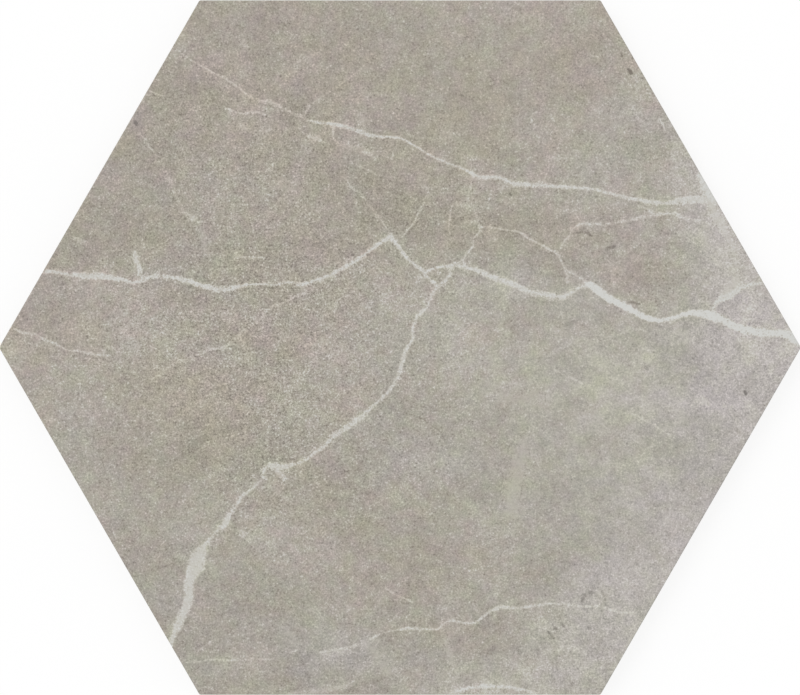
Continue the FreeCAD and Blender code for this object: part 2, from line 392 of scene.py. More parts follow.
# How light the stone is
STONE_TONE = 164.0
TONE_PATCHES = {
    # The whole slab grows paler to the right and at the foot
    "right half": Patch(720, 400, 150, 150, 9),
    "right foot": Patch(655, 610, 70, 80, 9),
    "middle": Patch(500, 340, 90, 60, 4),
    "below the middle": Patch(500, 450, 80, 60, 3),
    "right edge": Patch(740, 262, 35, 62, 17),
    "upper right edge": Patch(642, 78, 16, 36, 13),
    "upper right edge, lower": Patch(681, 146, 13, 34, 12),
    "right corner": Patch(787, 340, 26, 20, 17),
    "top edge": Patch(510, 6, 80, 16, 5),
    "foot": Patch(490, 692, 50, 14, 12),
    "foot, to the right": Patch(580, 660, 60, 40, 7),
    "foot, to the left": Patch(248, 668, 30, 10, 5),
    # Top
    "top left cloud": Patch(150, 150, 30, 38, -5),
    "top left shade": Patch(208, 98, 24, 22, -5),
    "top left streak": Patch(268, 40, 12, 50, -5),
    "top left hollow": Patch(270, 170, 26, 16, -6),
    "under the lead": Patch(303, 110, 16, 14, -8),
    "top shade": Patch(374, 34, 38, 20, -5),
    "upper right shade": Patch(648, 140, 28, 12, -6),
    "upper right glow": Patch(604, 120, 22, 16, 7),
    "upper left edge": Patch(112, 170, 10, 32, 5),
    "upper left haze": Patch(222, 184, 30, 12, 6),
    "upper left cloud": Patch(288, 188, 12, 12, 7),
    "beside the lead": Patch(258, 104, 13, 20, 7),
    "top glow": Patch(229, 62, 14, 10, 6),
    "above the upper run": Patch(604, 184, 58, 12, 7),
    "upper loose": Patch(476, 186, 26, 13, 8),
    "top middle shade": Patch(440, 88, 18, 22, -4),
    "top left corner": Patch(222, 28, 20, 20, -4),
    "under the haze": Patch(355, 178, 22, 16, -7),
    "under the upper run": Patch(514, 160, 18, 12, -6),
    "under the squiggle": Patch(534, 142, 18, 12, 9),
    "over the left run": Patch(262, 249, 40, 14, -5),
    # Left
    "left shade": Patch(110, 228, 46, 30, -5),
    "under the left run": Patch(190, 286, 20, 14, -8),
    "under the left run, inwards": Patch(262, 293, 26, 12, -7),
    "left edge": Patch(76, 224, 14, 22, -4),
    "left stain": Patch(136, 392, 18, 12, -7),
    "centre fall": Patch(224, 316, 18, 14, 5),
    "left run cloud": Patch(122, 284, 26, 16, 6),
    "left corner shade": Patch(40, 322, 26, 22, -5),
    "left glow": Patch(95, 335, 40, 34, 5),
    "left glow beside": Patch(145, 330, 22, 28, 5),
    "left glow below": Patch(80, 408, 34, 18, 6),
    "left corner": Patch(13, 350, 16, 16, 11),
    "over the left hollow": Patch(182, 409, 24, 14, 4),
    "left of the long fall": Patch(322, 408, 34, 14, 6),
    "left hollow": Patch(195, 443, 16, 18, -9),
    "beside the low fall": Patch(262, 453, 20, 16, -7),
    "between the hollows": Patch(224, 445, 14, 16, 6),
    "lower left shade": Patch(155, 470, 30, 24, -4),
    "lower left glow": Patch(125, 494, 44, 16, 5),
    "lower left haze": Patch(196, 534, 34, 24, 6),
    "lower left edge": Patch(142, 548, 22, 34, -5),
    "left foot edge": Patch(194, 655, 12, 12, -7),
    # Along the veins of the middle
    "above the apex": Patch(384, 217, 26, 16, -9),
    "above the apex, to the right": Patch(406, 202, 16, 12, -6),
    "right of the apex": Patch(430, 230, 20, 18, -7),
    "beside the climb": Patch(475, 240, 14, 22, -7),
    "between the strands": Patch(518, 229, 16, 28, -8),
    "under the arch": Patch(500, 282, 34, 10, 6),
    "under the apex": Patch(400, 300, 30, 26, 6),
    "under the middle run": Patch(512, 326, 24, 14, -8),
    "under the right run": Patch(592, 313, 14, 14, -8),
    "above the right run": Patch(646, 287, 20, 14, -9),
    "right of the arch": Patch(575, 255, 28, 16, -8),
    # Middle and right
    "middle glow": Patch(465, 325, 24, 18, 6),
    "middle glow below": Patch(470, 366, 24, 16, 8),
    "at the crack": Patch(412, 414, 24, 20, -8),
    "over the crack": Patch(404, 352, 26, 14, -5),
    "under the crack": Patch(500, 440, 24, 20, -6),
    "right glow": Patch(612, 382, 40, 24, 6),
    "right sprig": Patch(566, 366, 20, 14, -5),
    "under the middle run's end": Patch(572, 335, 14, 12, 7),
    "under the right sprig": Patch(562, 411, 18, 14, -5),
    "under the pool": Patch(685, 377, 16, 14, -8),
    "left of the pool": Patch(667, 332, 12, 14, -7),
    "right of the run's bend": Patch(689, 262, 22, 30, -5),
    "upper right corner": Patch(708, 216, 20, 26, 10),
    "beside the streak": Patch(474, 404, 12, 32, -4),
    "beside the long fall": Patch(348, 350, 28, 17, 7),
    "right streak": Patch(625, 475, 20, 24, 6),
    "right streak below": Patch(672, 526, 18, 18, 8),
    "right shade": Patch(670, 445, 40, 26, -4),
    "right rim": Patch(742, 426, 18, 16, 8),
    "lower right edge": Patch(718, 500, 12, 34, -5),
    "right speck": Patch(720, 376, 12, 12, 6),
    "right sweep": Patch(686, 406, 36, 10, 9),
    # Foot
    "right of the smear": Patch(270, 540, 20, 16, 11),
    "under the smear": Patch(238, 552, 14, 20, -8),
    "low left glow": Patch(322, 560, 22, 16, 7),
    "low middle glow": Patch(390, 508, 24, 16, 6),
    "over the low glow": Patch(335, 478, 40, 20, -4),
    "low middle hollow": Patch(352, 523, 18, 16, -7),
    "over the low middle": Patch(430, 472, 18, 18, 5),
    "over the run's head": Patch(335, 622, 26, 14, 5),
    "low centre glow": Patch(534, 520, 38, 13, 9),
    "low centre hollow": Patch(500, 494, 60, 11, -6),
    "low end": Patch(447, 616, 18, 16, 8),
    "over the low end": Patch(511, 586, 14, 12, 6),
    "low middle shade": Patch(428, 536, 32, 30, -7),
    "low glow": Patch(470, 550, 26, 20, 5),
    "low right shade": Patch(570, 535, 44, 34, -10),
    "low right stain": Patch(540, 584, 18, 16, -9),
    "low right glow": Patch(602, 574, 38, 16, 10),
    "over the bottom run": Patch(287, 605, 26, 20, -6),
    "under the bottom run": Patch(314, 680, 30, 14, -8),
    "bottom shade": Patch(483, 633, 30, 16, -11),
    "bottom shade, to the left": Patch(420, 641, 18, 16, -5),
    "under the run's head": Patch(346, 662, 18, 16, 8),
    "bottom glow": Patch(470, 667, 34, 14, 5),
    "bottom right glow": Patch(546, 630, 34, 20, 5),
}

# How rosy the stone is, and where less than nothing, how greenish
ROSE_PATCHES = {
    # The slab is rosier at the top and greener to the right
    "top": Patch(300, 90, 170, 80, 0.5),
    "top right": Patch(560, 40, 60, 50, 0.45),
    "left": Patch(90, 300, 80, 60, 0.4),
    "right half": Patch(680, 430, 130, 130, -0.6),
    "right middle, wide": Patch(668, 422, 60, 56, -0.25),
    "middle": Patch(500, 380, 80, 60, -0.18),
    "right foot": Patch(596, 640, 60, 54, -0.62),
    "right edge": Patch(704, 256, 30, 50, -0.6),
    "right corner": Patch(714, 214, 16, 24, 0.25),
    # Rosy spots
    "left run": Patch(165, 305, 36, 14, 0.35),
    "top left": Patch(160, 150, 26, 12, 0.4),
    "over the left run, inwards": Patch(290, 228, 30, 14, 0.3),
    "left corner": Patch(50, 300, 24, 24, 0.6),
    "over the lead": Patch(258, 86, 36, 12, 0.4),
    "lower left": Patch(194, 408, 54, 40, 0.46),
    "centre fall": Patch(265, 335, 30, 14, 0.5),
    "over the left run": Patch(310, 247, 22, 18, 0.5),
    "under the apex": Patch(338, 328, 22, 36, 0.6),
    "arch": Patch(565, 225, 18, 24, 0.6),
    "right of the arch": Patch(590, 257, 22, 18, 0.6),
    "under the right run": Patch(572, 322, 30, 14, 0.45),
    "over the right run": Patch(640, 275, 24, 16, 0.75),
    "strand": Patch(645, 230, 26, 14, 0.4),
    "right middle": Patch(680, 500, 36, 16, 0.45),
    "long fall": Patch(338, 468, 14, 14, 0.6),
    "low middle": Patch(315, 535, 26, 14, 0.4),
    "low sprig": Patch(385, 580, 24, 20, 0.35),
    "low left": Patch(150, 548, 28, 16, 0.45),
    "bottom left": Patch(215, 630, 26, 20, 0.5),
    "low right": Patch(558, 558, 32, 18, 0.5),
    "lower right edge": Patch(656, 524, 20, 26, 0.45),
    "bottom": Patch(492, 628, 24, 24, 0.45),
    # Mossy spots
    "top middle": Patch(440, 55, 24, 28, -0.5),
    "upper right": Patch(612, 115, 20, 16, -0.5),
    "over the upper run": Patch(580, 175, 22, 14, -0.4),
    "under the arch": Patch(500, 278, 30, 12, -0.55),
    "left run cloud": Patch(150, 266, 34, 13, -0.5),
    "left run, inwards": Patch(256, 288, 34, 13, -0.5),
    "outwards of the knee": Patch(232, 212, 28, 12, -0.4),
    "left glow": Patch(125, 345, 22, 18, -0.55),
    "left glow below": Patch(92, 402, 16, 16, -0.5),
    "low fall": Patch(198, 568, 26, 38, -0.42),
    "low middle glow": Patch(424, 456, 22, 18, -0.35),
    "above the apex fall": Patch(403, 308, 14, 20, -0.45),
    "knee": Patch(290, 473, 28, 13, -0.4),
    "foot": Patch(465, 682, 24, 14, -0.5),
    "right of the smear": Patch(275, 535, 20, 16, -0.3),
    "low right shade": Patch(610, 510, 30, 24, -0.4),
    "bottom run head": Patch(345, 655, 30, 16, -0.5),
    "bottom left cloud": Patch(300, 640, 24, 14, -0.5),
}

# How warm the stone is, and where less than nothing, how ashen
WARM_PATCHES = {
    # The slab cools from the upper left to the right corner
    "upper left": Patch(250, 150, 220, 130, 0.19),
    "left": Patch(160, 370, 130, 70, 0.04),
    "right half": Patch(740, 380, 150, 150, -0.2),
    "right foot": Patch(610, 640, 70, 60, -0.5),
    "middle": Patch(490, 360, 110, 80, -0.2),
    "right edge": Patch(760, 330, 60, 110, -0.65),
    "lower right edge": Patch(680, 515, 80, 80, -0.5),
    "upper right": Patch(610, 140, 60, 40, -0.2),
    "upper right corner": Patch(712, 214, 18, 26, -0.45),
    "over the right run": Patch(635, 278, 30, 18, 0.3),
    "right glow": Patch(620, 372, 30, 24, 0.15),
    "right middle": Patch(672, 425, 44, 60, 0.15),
    "left run": Patch(150, 284, 90, 16, -0.12),
    "low left": Patch(310, 580, 60, 50, -0.15),
    "low fall": Patch(182, 605, 22, 50, -0.25),
    "low end": Patch(470, 592, 24, 16, -0.25),
    "foot": Patch(455, 672, 30, 20, -0.3),
    "bottom run head": Patch(336, 650, 26, 16, -0.45),
    "low middle glow": Patch(420, 462, 36, 16, -0.45),
    "lower left": Patch(112, 465, 20, 18, 0.18),
    "lower left hollow": Patch(208, 470, 50, 24, 0.24),
    "low middle": Patch(338, 500, 22, 34, 0.3),
    "upper middle": Patch(468, 116, 20, 26, 0.38),
    "top right": Patch(576, 74, 30, 24, 0.28),
    "top right edge": Patch(625, 50, 20, 40, -0.15),
    "between the strands": Patch(520, 236, 50, 14, 0.34),
    "above the apex": Patch(405, 206, 20, 34, 0.26),
    "outwards of the knee": Patch(206, 190, 44, 13, -0.45),
    "right sweep": Patch(680, 402, 26, 12, -0.5),
    "above the apex fall": Patch(400, 300, 24, 24, -0.2),
    "under the arch": Patch(498, 276, 24, 12, -0.25),
    "lower left edge": Patch(72, 460, 30, 50, -0.35),
    "under the bottom run": Patch(340, 655, 50, 24, -0.2),
    # Rusty stains
    "left stain": Patch(165, 386, 38, 18, 0.22),
    "left stain below": Patch(218, 430, 28, 22, 0.22),
    "centre dots": Patch(280, 410, 24, 30, 0.2),
    "under the left run": Patch(325, 292, 18, 20, 0.22),
    "low stain": Patch(540, 578, 16, 14, 0.3),
    "bottom stain": Patch(490, 640, 24, 14, 0.35),
    "low middle, wide": Patch(400, 565, 60, 34, 0.16),
}

# The grain and the clouds are stronger in some parts of the slab than in others
EVEN_GRAIN = 0.85
GRAIN_PATCHES = {
    "left of the middle": Patch(240, 350, 110, 70, 0.42),
    "centre dots": Patch(270, 450, 40, 60, 0.25),
    "under the left run": Patch(320, 285, 90, 26, 0.15),
    "middle veins": Patch(440, 200, 60, 30, 0.15),
    "right of the middle": Patch(580, 420, 80, 110, -0.2),
    "top": Patch(500, 60, 60, 60, -0.1),
    "upper left": Patch(250, 180, 70, 70, 0.3),
    "right edge": Patch(745, 320, 36, 90, 0.12),
    "low middle": Patch(400, 480, 60, 26, 0.1),
    "right foot": Patch(600, 632, 50, 30, 0.12),
}
EVEN_CLOUDS = 0.68
CLOUD_PATCHES = {
    "right half": Patch(690, 340, 110, 150, 0.45),
    "top left": Patch(190, 90, 80, 70, 0.3),
    "foot": Patch(480, 650, 160, 50, 0.35),
    "middle veins": Patch(480, 190, 60, 40, 0.3),
}

# The face's net in mm: its spacing, the spacing along a vein's line, and the room round that line
NET_SPACING = 1.35
VEIN_SPACING = 0.5
NET_CLEARANCE = 0.35

# What the print reads far from every vein, in mm: a depth outside them all, and an even softness
DEEPEST_OUTSIDE = -6.0
OPEN_FEATHER = 0.3

# Points of the small roundings, as shares of a rounding's size: how far in, and how high
BREAK_POINT = (0.18, 0.1)
HEEL_POINTS = ((0.08, 0.3), (0.35, 0.07), (0.8, 0.0))
LIP_POINT = (0.2, 0.2)
FLOOR_POINTS = ((0.3, 0.2), (1.4, 0.0))

# The baked map, in shares of its side: the face at the foot, and the back and the walls above it
MAP_GAP = 0.006
FACE_ON_MAP = 0.85
BACK_ON_MAP = 0.275
WALL_ON_MAP = 0.36
WALL_SHIFT = 0.02
WALL_PITCH = 0.038

GLAZE, CLAY = range(2)

# What is random in the finishes. Noise of a size in mm, with its octaves and their roughness, is
# stretched so that its low and high values become the least and the most.
Mottle = namedtuple("Mottle", "size octaves roughness low high least most")

GLAZE_MOTTLES = {
    # A vein's edge wanders by shares of its feather, and a broken vein thins out by mm
    "edge wander": Mottle(1.6, 3, 0.6, 0, 1, -1.1, 1.1),
    "edge grain": Mottle(0.45, 2, 0.6, 0, 1, -0.8, 0.8),
    "thinning": Mottle(2.0, 3, 0.7, 0, 1, -2.0, 2.0),
    # Levels of lightness. A real ink drop is 0.05 mm, and the finest here is what a pixel shows
    "clouds": Mottle(10.0, 3, 1.0, 0, 1, -32.0, 32.0),
    "coarse grain": Mottle(1.6, 3, 1.0, 0, 1, -47.0, 47.0),
    "fine grain": Mottle(0.65, 1, 1.0, 0, 1, -52.0, 52.0),
    # Shares of the hues
    "rose clouds": Mottle(12.0, 2, 1.0, 0, 1, -2.1, 2.1),
    "warm clouds": Mottle(14.0, 2, 1.0, 0, 1, -0.8, 0.8),
    # The glaze's own surface
    "crystals": Mottle(0.5, 2, 0.7, 0, 1, 0.0, 1.0),
    "swells": Mottle(3.2, 2, 0.6, 0, 1, 0.0, 2.0),
    "sheen": Mottle(6.0, 3, 0.6, 0.3, 0.7, 0.52, 0.64),
}
CLAY_MOTTLES = {
    # How much of the clay each of them covers
    "smoke": Mottle(14.0, 3, 0.6, 0.35, 0.65, 0.0, 0.5),
    "granules": Mottle(0.5, 1, 0.5, 0.3, 0.7, 0.0, 0.35),
    "iron": Mottle(0.6, 1, 0.5, 0.71, 0.76, 0.0, 0.7),
    # How far the glaze mist's edge reaches down, and how much of the kiln wash stays
    "mist edge": Mottle(1.8, 3, 0.6, 0, 1, 0.0, 3.4 * MM),
    "rubbing": Mottle(7.0, 4, 0.7, 0.38, 0.62, 0.15, 0.85),
    # The clay's own surface
    "grit": Mottle(0.45, 3, 0.7, 0, 1, 0.0, 1.0),
    "dryness": Mottle(0.7, 2, 0.6, 0.3, 0.7, 0.78, 0.92),
}

# A fleck stronger than this many levels is deepened and a weaker one is calmed, by this share a level
EVEN_FLECK = 12.0
FLECK_BITE = 0.022

# Inside a wide vein the grain calms down to this share, between two depths in mm
CALM_FROM = 0.3
CALM_AT = 1.2
CALM_GRAIN = 0.4

# The stone takes its full hue up to one level of lightness, and none from another on
HUED_UP_TO = 184.0
PLAIN_FROM = 204.0

# Glaze mist grows from none to its full cover between two heights, in mm over the face, and its
# ragged edge brings both of them down onto the wall.
SPRAY_NONE_AT = -0.25
SPRAY_FULL_AT = 0.5
SPRAY_COVER = 0.9

# Kiln wash is thick up to one height over the bedding plane and gone at another, in mm
WASH_THICK_TO = 0.02
WASH_GONE_AT = 0.3

# How high the crystals and the grit stand, in mm, and how strongly both bodies bend light
CRYSTAL_HEIGHT = 0.012
GRIT_HEIGHT = 0.04
GLAZE_IOR = 1.5
CLAY_IOR = 1.5


class TileSizes(bpy.types.PropertyGroup):
    """Sizes of the pressed tile"""

    across_flats: bpy.props.FloatProperty(
        name="Across flats", description="From a side to the side opposite",
        default=ACROSS_FLATS, unit="LENGTH", subtype="DISTANCE", precision=4,
    )
    thickness: bpy.props.FloatProperty(
        name="Thickness", description="From the bedding plane to the glazed face",
        default=THICKNESS, unit="LENGTH", subtype="DISTANCE", precision=4,
    )
    corner_radius: bpy.props.FloatProperty(
        name="Corner radius", description="Rounding of the six corners between the walls",
        default=0.8 * MM, unit="LENGTH", subtype="DISTANCE", precision=4,
    )
    arris_radius: bpy.props.FloatProperty(
        name="Arris radius", description="Rounding of the edge round the face",
        default=0.5 * MM, unit="LENGTH", subtype="DISTANCE", precision=4,
    )
    foot_height: bpy.props.FloatProperty(
        name="Foot height", description="Height where the wall starts to draw in towards the back",
        default=2.6 * MM, unit="LENGTH", subtype="DISTANCE", precision=4,
    )
    foot_inset: bpy.props.FloatProperty(
        name="Foot inset", description="How far the wall draws in at the bedding plane",
        default=0.7 * MM, unit="LENGTH", subtype="DISTANCE", precision=4,
    )
    rim_width: bpy.props.FloatProperty(
        name="Rim width", description="Least width of the plain rim round the keyed back",
        default=8.0 * MM, unit="LENGTH", subtype="DISTANCE", precision=4,
    )
    cell_across_flats: bpy.props.FloatProperty(
        name="Cell width", description="A cell's mouth across its flats",
        default=10.8 * MM, unit="LENGTH", subtype="DISTANCE", precision=4,
    )
    rib_width: bpy.props.FloatProperty(
        name="Rib width", description="Between the mouths of two cells",
        default=2.2 * MM, unit="LENGTH", subtype="DISTANCE", precision=4,
    )
    cell_depth: bpy.props.FloatProperty(
        name="Cell depth", description="From the bedding plane to a cell's floor",
        default=0.7 * MM, unit="LENGTH", subtype="DISTANCE", precision=4,
    )
    cell_draft: bpy.props.FloatProperty(
        name="Cell draft", description="How far a cell's walls lean from upright",
        default=math.radians(35), unit="ROTATION", subtype="ANGLE",
    )


class TileColours(bpy.types.PropertyGroup):
    """Colours of the tile's inks and clay"""

    fleck: bpy.props.FloatVectorProperty(
        name="Fleck ink", description="Darkest flecks of the printed stone",
        default=linear(FLECK), subtype="COLOR", size=3, min=0, max=1,
    )
    stone: bpy.props.FloatVectorProperty(
        name="Stone ink", description="Warm grey ground of the printed stone",
        default=linear(STONE), subtype="COLOR", size=3, min=0, max=1,
    )
    mist: bpy.props.FloatVectorProperty(
        name="Mist ink", description="Pale cloudy parts of the printed stone",
        default=linear(MIST), subtype="COLOR", size=3, min=0, max=1,
    )
    vein: bpy.props.FloatVectorProperty(
        name="Vein ink", description="Cool white of the veins",
        default=linear(VEIN), subtype="COLOR", size=3, min=0, max=1,
    )
    clay: bpy.props.FloatVectorProperty(
        name="Fired clay", description="Unglazed porcelain body on the walls and the back",
        default=linear(PLAIN_CLAY), subtype="COLOR", size=3, min=0, max=1,
    )
    kiln_wash: bpy.props.FloatVectorProperty(
        name="Kiln wash", description="Pale powder that the kiln's rollers leave on the back",
        default=linear(KILN_WASH), subtype="COLOR", size=3, min=0, max=1,
    )


class StageSettings(bpy.types.PropertyGroup):
    """The floor, the light and the camera"""

    view_width: bpy.props.FloatProperty(
        name="View width", description="Width of the tile's face that the picture takes in",
        default=267.1 * MM, unit="LENGTH", subtype="DISTANCE", precision=4,
    )
    lens: bpy.props.FloatProperty(
        name="Lens", description="Focal length, long as for a flat picture of a panel",
        default=100, unit="CAMERA", subtype="DISTANCE_CAMERA",
    )
    sky: bpy.props.FloatProperty(
        name="Even light", description="Strength of the white light from all sides",
        default=0.765, min=0,
    )
    lamp: bpy.props.FloatProperty(
        name="Lamp", description="Strength of the soft lamp from the upper left",
        default=0.62, min=0, unit="POWER",
    )
    floor_size: bpy.props.FloatProperty(
        name="Floor", description="Side of the square floor",
        default=4, unit="LENGTH", subtype="DISTANCE",
    )


class Pressing:
    """The tile's points and faces in mm, gathered part by part and then made into one mesh."""

    def __init__(self):
        self.points = []
        self.faces = []
        self.finishes = []

    def add_points(self, points):
        """Adds points and gives their places in the list."""
        first = len(self.points)
        self.points.extend(points)
        return list(range(first, len(self.points)))

    def add_face(self, corners, finish):
        """Adds a face of a finish, with its corners anticlockwise as seen from outside."""
        self.faces.append(corners)
        self.finishes.append(finish)

    def bridge(self, upper, lower, finish):
        """Faces between two closed rings of as many points, which look outwards."""
        for here in range(len(upper)):
            onward = (here + 1) % len(upper)
            self.add_face((upper[here], lower[here], lower[onward], upper[onward]), finish)

    def fill(self, outline, holes, loose, tracks, height, finish, upwards):
        """Triangles in a level plane inside an outline and outside its holes.

        The loose points and the tracks, which are lists of points joined in turn, get their own
        places in the net.
        """
        flat = [Vector(self.points[place][:2]) for ring in (outline, *holes) for place in ring]
        known = [place for ring in (outline, *holes) for place in ring]
        rings = []
        start = 0
        for ring in (outline, *holes):
            rings.append(list(range(start, start + len(ring))))
            start += len(ring)
        links = []
        for track in tracks:
            links.extend((len(flat) + step, len(flat) + step + 1) for step in range(len(track) - 1))
            flat.extend(Vector(point) for point in track)
        flat.extend(Vector(point) for point in loose)
        all_triangles = 0       # the kind of net that is asked for
        merged_within = 1e-5    # in mm
        net, _, triangles, origins, _, sources = delaunay_2d_cdt(
            flat, links, rings, all_triangles, merged_within,
        )
        places = []
        for point, origin in zip(net, origins):
            fixed = [source for source in origin if source < len(known)]
            places.extend([known[fixed[0]]] if fixed else self.add_points([(point.x, point.y, height)]))
        for triangle, source in zip(triangles, sources):
            if source == [0]:
                corners = [places[corner] for corner in triangle]
                self.add_face(corners if upwards else corners[::-1], finish)


def hexagon_ring(apothem, radius, height, turn, corner_steps, side_steps):
    """The points of a level hexagon with rounded corners, anticlockwise from its first corner."""
    reach = (apothem - radius) / FLAT_TO_CORNER
    points = []
    for corner in range(SIDES):
        heading = turn + corner * SIDE_STEP
        middle = (reach * math.cos(heading), reach * math.sin(heading))
        for step in range(corner_steps + 1):
            angle = heading + (step / corner_steps - 0.5) * SIDE_STEP
            points.append((
                middle[0] + radius * math.cos(angle),
                middle[1] + radius * math.sin(angle),
                height,
            ))
        side_start = Vector(points[-1])
        ahead = heading + SIDE_STEP
        far_angle = ahead - SIDE_STEP / 2
        side_end = Vector((
            reach * math.cos(ahead) + radius * math.cos(far_angle),
            reach * math.sin(ahead) + radius * math.sin(far_angle),
            height,
        ))
        points.extend(
            tuple(side_start.lerp(side_end, step / side_steps)) for step in range(1, side_steps)
        )
    return points


def wall_profile(sizes):
    """(inset, height, corner radius) down the wall, from the face to the bedding plane."""
    thickness = sizes.thickness / MM
    arris = sizes.arris_radius / MM
    foot_height = sizes.foot_height / MM
    foot_inset = sizes.foot_inset / MM
    arris_steps = 6
    wall_rows = 4
    foot_blend = 0.35       # how much of the break above the foot is softened, up and down
    heel_radius = 0.3       # the worn edge between the foot and the bedding plane
    least_corner = 0.25     # the corners stay this round where they are drawn in
    rows = []
    for step in range(arris_steps + 1):
        angle = step / arris_steps * math.pi / 2
        rows.append((arris * (1 - math.sin(angle)), thickness - arris * (1 - math.cos(angle))))
    wall_top = thickness - arris
    wall_bottom = foot_height + foot_blend
    for step in range(1, wall_rows + 1):
        rows.append((0.0, wall_top + (wall_bottom - wall_top) * step / wall_rows))
    slope = foot_inset / foot_height
    rows.append((BREAK_POINT[0] * slope * foot_blend, foot_height + BREAK_POINT[1] * foot_blend))
    rows.append((slope * foot_blend, foot_height - foot_blend))
    rows.append((slope * foot_height / 2, foot_height / 2))
    rows.append((foot_inset - slope * heel_radius, heel_radius))
    rows.extend((foot_inset + inwards * heel_radius, up * heel_radius) for inwards, up in HEEL_POINTS)
    corner = sizes.corner_radius / MM
    return [(inset, height, max(corner - inset, least_corner)) for inset, height in rows]


def cell_centres(sizes):
    """Centres of the back's cells in mm, in whole rings round the tile's middle out to the rim."""
    pitch = (sizes.cell_across_flats + sizes.rib_width) / MM
    row_spacing = pitch * FLAT_TO_CORNER
    cell_reach = sizes.cell_across_flats / MM / 2 / FLAT_TO_CORNER
    rings = int(((sizes.across_flats / 2 - sizes.rim_width) / MM - cell_reach) / row_spacing)
    centres = []
    for row in range(-rings, rings + 1):
        in_row = 2 * rings + 1 - abs(row)
        for place in range(in_row):
            centres.append((pitch * (place - (in_row - 1) / 2), row * row_spacing))
    return centres


def cell_profile(sizes):
    """(apothem, height) from a cell's softened lip down its drafted wall to its floor."""
    mouth = sizes.cell_across_flats / MM / 2
    depth = sizes.cell_depth / MM
    lean = math.tan(sizes.cell_draft)
    soft = 0.16             # how far the pressed clay's edges are rounded, in mm
    return (
        (mouth + soft, 0.0),
        (mouth + LIP_POINT[0] * soft, LIP_POINT[1] * soft),
        (mouth - lean * soft, soft),
        (mouth - lean * (depth - soft), depth - soft),
        *((mouth - lean * depth - inwards * soft, depth - up * soft) for inwards, up in FLOOR_POINTS),
    )


def press_back(pressing, outline, sizes):
    """The keyed back: a rim and ribs in one plane, with the cells pressed into it."""
    corner_radius = 0.7     # of a cell, in mm
    corner_steps = 1
    side_steps = 1
    profile = cell_profile(sizes)
    mouths = []
    for centre_x, centre_y in cell_centres(sizes):
        rings = []
        for apothem, height in profile:
            ring = hexagon_ring(apothem, corner_radius, height, CORNER_NORTH, corner_steps, side_steps)
            rings.append(pressing.add_points([(x + centre_x, y + centre_y, z) for x, y, z in ring]))
        for outer, inner in zip(rings, rings[1:]):
            pressing.bridge(outer, inner, CLAY)
        pressing.add_face(rings[-1][::-1], CLAY)
        mouths.append(rings[0])
    pressing.fill(outline, mouths, (), (), 0.0, CLAY, upwards=False)


def smooth_route(points):
    """(x, y, half width) in mm along a vein, on a smooth curve through its points."""
    drawn = np.array([(*on_tile(x, y), width / 2 / CHART_PX_PER_MM[1]) for x, y, width in points])
    before = np.vstack([2 * drawn[0] - drawn[1], drawn[:-1]])
    after = np.vstack([drawn[1:], 2 * drawn[-1] - drawn[-2]])
    slopes = (after - before) / 2
    route = [drawn[0]]
    for start, end, leave, arrive in zip(drawn, drawn[1:], slopes, slopes[1:]):
        steps = max(1, round(math.dist(start[:2], end[:2]) / VEIN_SPACING))
        for step in range(1, steps + 1):
            t = step / steps
            route.append(
                (2 * t**3 - 3 * t**2 + 1) * start + (t**3 - 2 * t**2 + t) * leave
                + (3 * t**2 - 2 * t**3) * end + (t**3 - t**2) * arrive
            )
    return np.array(route)


def distance_inside(places, route):
    """How deep each place lies inside a vein in mm, less than nothing outside it."""
    least_square = 1e-9     # keeps a stretch without length from dividing by nothing
    best = np.full(len(places), -np.inf)
    for start, end in zip(route, route[1:]):
        run = end[:2] - start[:2]
        share = np.clip((places - start[:2]) @ run / max(run @ run, least_square), 0, 1)
        nearest = start[:2] + share[:, None] * run
        half_width = start[2] + share * (end[2] - start[2])
        best = np.maximum(best, half_width - np.linalg.norm(places - nearest, axis=1))
    return best


def on_face(route, apothem):
    """The stretches of a route that lie inside a hexagon, as lists of points."""
    stretches = [[]]
    for point in route:
        if (OUTWARD @ point[:2]).max() < apothem:
            stretches[-1].append(tuple(point[:2]))
        elif stretches[-1]:
            stretches.append([])
    return [stretch for stretch in stretches if len(stretch) > 1]


def face_net(apothem, taken):
    """Points in even rows over the face, apart from those close to a vein's line."""
    row_spacing = NET_SPACING * FLAT_TO_CORNER
    rows = int(apothem / row_spacing) + 1
    reach = int(apothem / FLAT_TO_CORNER / NET_SPACING) + 1
    places = np.array([
        ((column + 0.5 * (row % 2)) * NET_SPACING, row * row_spacing)
        for row in range(-rows, rows + 1) for column in range(-reach - 1, reach + 1)
    ])
    places = places[(places @ OUTWARD.T).max(axis=1) < apothem]
    blocked = {(round(x / NET_CLEARANCE), round(y / NET_CLEARANCE)) for x, y in taken}
    cells = np.round(places / NET_CLEARANCE).astype(int)
    return [tuple(place) for place, cell in zip(places, cells) if tuple(cell) not in blocked]


def press_face(pressing, outline, sizes):
    """The level face inside the arris, with a point of the net on every vein's line."""
    apothem = (sizes.across_flats / 2 - sizes.arris_radius) / MM
    support = 0.25          # a ring just inside the arris keeps the face's shading level
    corner_radius = 0.3
    corner_steps = 3
    side_steps = round(apothem / NET_SPACING)
    thickness = sizes.thickness / MM
    inner = hexagon_ring(
        apothem - support, corner_radius, thickness, CORNER_EAST, corner_steps, side_steps,
    )
    routes = [smooth_route(vein.points) for vein in VEINS.values()]
    tracks = [track for route in routes for track in on_face(route, apothem - 2 * support)]
    taken = [point for track in tracks for point in track]
    net = face_net(apothem - 3 * support, taken)
    closed = [point[:2] for point in inner]
    closed.append(closed[0])
    pressing.fill(outline, (), net, [closed, *tracks], thickness, GLAZE, upwards=True)


